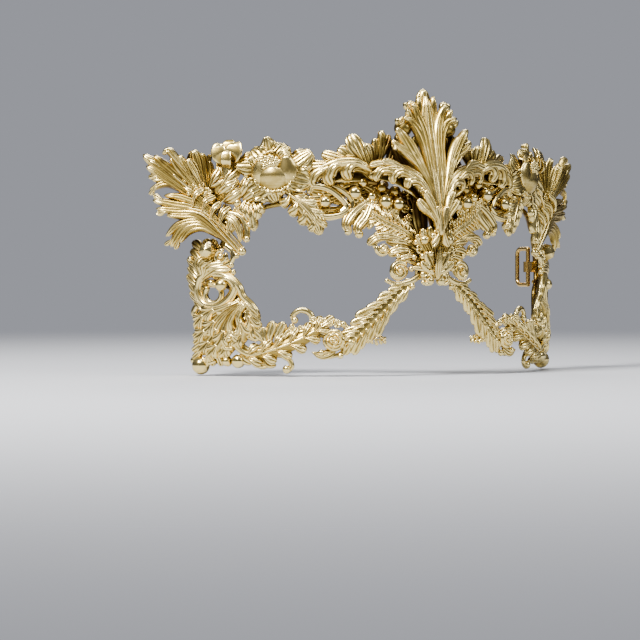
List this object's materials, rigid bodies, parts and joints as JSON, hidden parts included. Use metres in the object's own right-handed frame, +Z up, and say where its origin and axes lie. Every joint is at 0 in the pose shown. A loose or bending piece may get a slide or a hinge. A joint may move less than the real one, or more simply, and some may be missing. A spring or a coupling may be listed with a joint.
{
  "type": "masquerade mask",
  "caption": "Openwork half mask of gilt cast leaves, scrolls, flowers and beads on a bent wire frame, with a hinged ribbon ring at each temple.",
  "frame": {"origin": "middle of the back face of the bridge pad, at the level of the nose bridge", "axes": "+Z up as worn, the front of the mask faces -Y, +X is the wearer's left"},
  "size_m": [0.2294, 0.0746, 0.1277],
  "materials": {
    "gilt_castings": "gold-painted resin, satin to gloss",
    "gilt_beads": "gold-painted, smooth and bright",
    "gilt_wire": "gilt wire and pad",
    "strap_fittings": "satin"
  },
  "bodies": {
    "mask": {"bridge_plate": "gilt_wire", "centre_plume": "gilt_castings", "bridge_shell": "gilt_castings", "brow_wire_right": "gilt_wire", "brow_wire_left": "gilt_wire", "side_wire_right": "gilt_wire", "side_wire_left": "gilt_wire", "cheek_wire_right": "gilt_wire", "cheek_wire_left": "gilt_wire", "star_leaf_right": "gilt_castings", "star_leaf_left": "gilt_castings", "pearl_scroll_right": "gilt_beads", "pearl_scroll_left": "gilt_beads", "blossom_cluster_right": "gilt_beads", "blossom_cluster_left": "gilt_beads", "brow_frond_right": "gilt_castings", "brow_frond_left": "gilt_castings", "drop_leaf_right": "gilt_castings", "drop_leaf_left": "gilt_castings", "brow_curls_right": "gilt_castings", "brow_curls_left": "gilt_castings", "plume_blade_right": "gilt_castings", "plume_blade_left": "gilt_castings", "coil_rosette_right": "gilt_castings", "coil_rosette_left": "gilt_castings", "nose_feather_right": "gilt_castings", "nose_feather_left": "gilt_castings", "rose_right": "gilt_castings", "rose_left": "gilt_castings", "cheek_leaf_right": "gilt_castings", "cheek_leaf_left": "gilt_castings", "cheek_curls_right": "gilt_castings", "cheek_curls_left": "gilt_castings", "corner_acanthus_right": "gilt_castings", "corner_acanthus_left": "gilt_castings", "corner_knob_right": "gilt_beads", "corner_knob_left": "gilt_beads", "side_volute_right": "gilt_castings", "side_volute_left": "gilt_castings", "temple_frond_right": "gilt_castings", "temple_frond_left": "gilt_castings", "faceted_bead_right": "gilt_beads", "faceted_bead_left": "gilt_beads", "cup_flower_right": "gilt_castings", "cup_flower_left": "gilt_castings", "peony_right": "gilt_castings", "peony_left": "gilt_castings", "hanging_leaf_right": "gilt_castings", "hanging_leaf_left": "gilt_castings", "temple_spiral_right": "gilt_castings", "temple_spiral_left": "gilt_castings", "corner_leaf_upper_right": "gilt_castings", "corner_leaf_upper_left": "gilt_castings", "corner_leaf_lower_right": "gilt_castings", "corner_leaf_lower_left": "gilt_castings", "strap_lug_right": "strap_fittings", "strap_lug_left": "strap_fittings"},
    "strap_ring_right": {"strap_ring_right": "strap_fittings"},
    "strap_ring_left": {"strap_ring_left": "strap_fittings"}
  },
  "joints": [
    {"name": "strap_ring_right_swing", "type": "hinge", "parent": "mask", "child": "strap_ring_right", "pos_m": [-0.082, 0.046, 0.002], "axis": [0, 0, 1], "range_deg": [-75, 25]},
    {"name": "strap_ring_left_swing", "type": "hinge", "parent": "mask", "child": "strap_ring_left", "pos_m": [0.082, 0.046, 0.002], "axis": [0, 0, 1], "range_deg": [-25, 75]}
  ]
}
